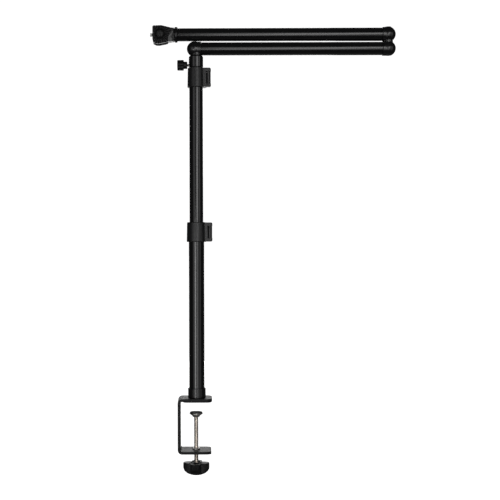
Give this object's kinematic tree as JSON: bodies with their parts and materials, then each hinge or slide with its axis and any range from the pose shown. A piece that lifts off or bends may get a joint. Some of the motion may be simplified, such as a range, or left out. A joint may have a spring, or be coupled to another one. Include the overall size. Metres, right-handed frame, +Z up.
{
  "type": "clamp-on desk arm stand",
  "caption": "Clamp-on desk stand with a telescopic mast, flip-lever locks, a folding double arm and a tilting head with a threaded stud.",
  "frame": {"origin": "on the mast axis at the table top, at the centre of the upper jaw pad's underside", "axes": "+Z up the mast, +X along the lower arm from the mast to the folding knuckles, -Y is the front"},
  "size_m": [0.4468, 0.0505, 0.8146],
  "materials": {
    "tube_black": "satin black anodised tube",
    "cast_black": "satin black paint on castings",
    "clamp_paint": "fine textured charcoal powder coat",
    "lock_plastic": "fine grained moulded plastic",
    "head_plastic": "ribbed black moulded plastic",
    "grip_plastic": "coarse grip texture",
    "rubber": "matt rubber",
    "steel": "zinc plated",
    "bright_steel": "bright rolled thread, slightly warm",
    "black_steel": "black oxide steel fasteners",
    "nylon": "natural nylon"
  },
  "bodies": {
    "base": {"clamp_frame": "clamp_paint", "upper_jaw_pad": "rubber", "base_socket": "cast_black", "base_plug": "nylon", "base_bolt": "steel", "jaw_bush": "steel", "lower_tube": "tube_black", "lower_lock_collar": "lock_plastic", "lower_lock_pin": "black_steel", "lower_lock_bolt": "black_steel"},
    "lower_lever": {"lower_lock_lever": "lock_plastic"},
    "middle_mast": {"middle_tube": "tube_black", "middle_tube_foot": "nylon", "upper_lock_collar": "lock_plastic", "upper_lock_pin": "black_steel", "upper_lock_bolt": "black_steel"},
    "upper_lever": {"upper_lock_lever": "lock_plastic"},
    "inner_mast": {"inner_tube": "tube_black", "inner_tube_foot": "nylon", "pan_post": "black_steel"},
    "swivel_arm": {"pan_sleeve": "tube_black", "pan_bush": "nylon", "mast_elbow": "cast_black", "lower_arm_tube": "tube_black", "lower_knuckle": "cast_black", "pivot_bolt": "black_steel", "friction_washer": "nylon", "spring_washer": "steel", "pivot_nut": "steel"},
    "pan_brake": {"pan_brake_pad": "nylon"},
    "pan_thumbscrew": {"pan_lock_screw": "steel", "pan_lock_knob": "grip_plastic"},
    "outer_arm": {"upper_knuckle": "cast_black", "pivot_cap": "lock_plastic", "upper_arm_tube": "tube_black", "arm_end_plug": "cast_black", "roll_bolt": "steel"},
    "head_swivel": {"head_neck": "head_plastic", "tilt_disc_front": "nylon", "tilt_disc_rear": "nylon"},
    "head_plate": {"tilt_bracket": "head_plastic", "platform_pad": "rubber", "camera_stud": "steel", "tilt_bolt": "black_steel"},
    "tilt_clamp": {"tilt_washer": "steel"},
    "tilt_handle": {"tilt_knob": "grip_plastic"},
    "pressure_foot": {"pressure_cup": "steel", "pressure_rubber": "rubber"},
    "spindle": {"clamp_screw": "bright_steel", "clamp_knob": "grip_plastic", "knob_pin": "steel"}
  },
  "joints": [
    {"name": "middle_mast_slide", "type": "slide", "parent": "base", "child": "middle_mast", "axis": [0, 0, 1], "range_m": [-0.19, 0.02]},
    {"name": "lower_lever_swing", "type": "hinge", "parent": "base", "child": "lower_lever", "pos_m": [0.0244, -0.0049, 0.307], "axis": [0, 0, -1], "range_deg": [0, 100]},
    {"name": "upper_lever_swing", "type": "hinge", "parent": "middle_mast", "child": "upper_lever", "pos_m": [0.0225, -0.0049, 0.5875], "axis": [0, 0, -1], "range_deg": [0, 100]},
    {"name": "inner_mast_slide", "type": "slide", "parent": "middle_mast", "child": "inner_mast", "axis": [0, 0, 1], "range_m": [0, 0.24]},
    {"name": "pan_turn", "type": "hinge", "parent": "inner_mast", "child": "swivel_arm", "pos_m": [0, 0, 0.61], "axis": [0, 0, 1], "range_deg": [-110, 110]},
    {"name": "pan_thumbscrew_turn", "type": "hinge", "parent": "pan_brake", "child": "pan_thumbscrew", "pos_m": [-0.02, 0, 0.6106], "axis": [-1, 0, 0], "range_deg": [0, 540]},
    {"name": "pan_brake_slide", "type": "slide", "parent": "swivel_arm", "child": "pan_brake", "axis": [-1, 0, 0], "range_m": [0, 0.0012]},
    {"name": "arm_fold", "type": "hinge", "parent": "swivel_arm", "child": "outer_arm", "pos_m": [0.3496, 0, 0.653], "axis": [0, 0, 1], "continuous": true},
    {"name": "head_roll", "type": "hinge", "parent": "outer_arm", "child": "head_swivel", "pos_m": [-0.0389, 0, 0.666], "axis": [1, 0, 0], "continuous": true},
    {"name": "head_tilt", "type": "hinge", "parent": "head_swivel", "child": "head_plate", "pos_m": [-0.0652, 0, 0.666], "axis": [0, 1, 0], "range_deg": [-60, 60]},
    {"name": "tilt_washer_slide", "type": "slide", "parent": "head_plate", "child": "tilt_clamp", "axis": [0, 1, 0], "range_m": [0, 0.0012]},
    {"name": "tilt_handle_turn", "type": "hinge", "parent": "tilt_clamp", "child": "tilt_handle", "pos_m": [-0.0652, 0.015, 0.666], "axis": [0, 1, 0], "range_deg": [0, 540]},
    {"name": "pressure_foot_slide", "type": "slide", "parent": "base", "child": "pressure_foot", "axis": [0, 0, 1], "range_m": [-0.0501, 0.0171]},
    {"name": "spindle_turn", "type": "hinge", "parent": "pressure_foot", "child": "spindle", "pos_m": [-0.0015, 0, -0.08], "axis": [0, 0, 1], "range_deg": [-14400, 4896]}
  ],
  "couplings": [
    {"joint": "pan_brake_slide", "follows": "pan_thumbscrew_turn", "m_per_rad": 0.00012732},
    {"joint": "tilt_washer_slide", "follows": "tilt_handle_turn", "m_per_rad": 0.00012732},
    {"joint": "pressure_foot_slide", "follows": "spindle_turn", "m_per_rad": 0.00019894}
  ]
}
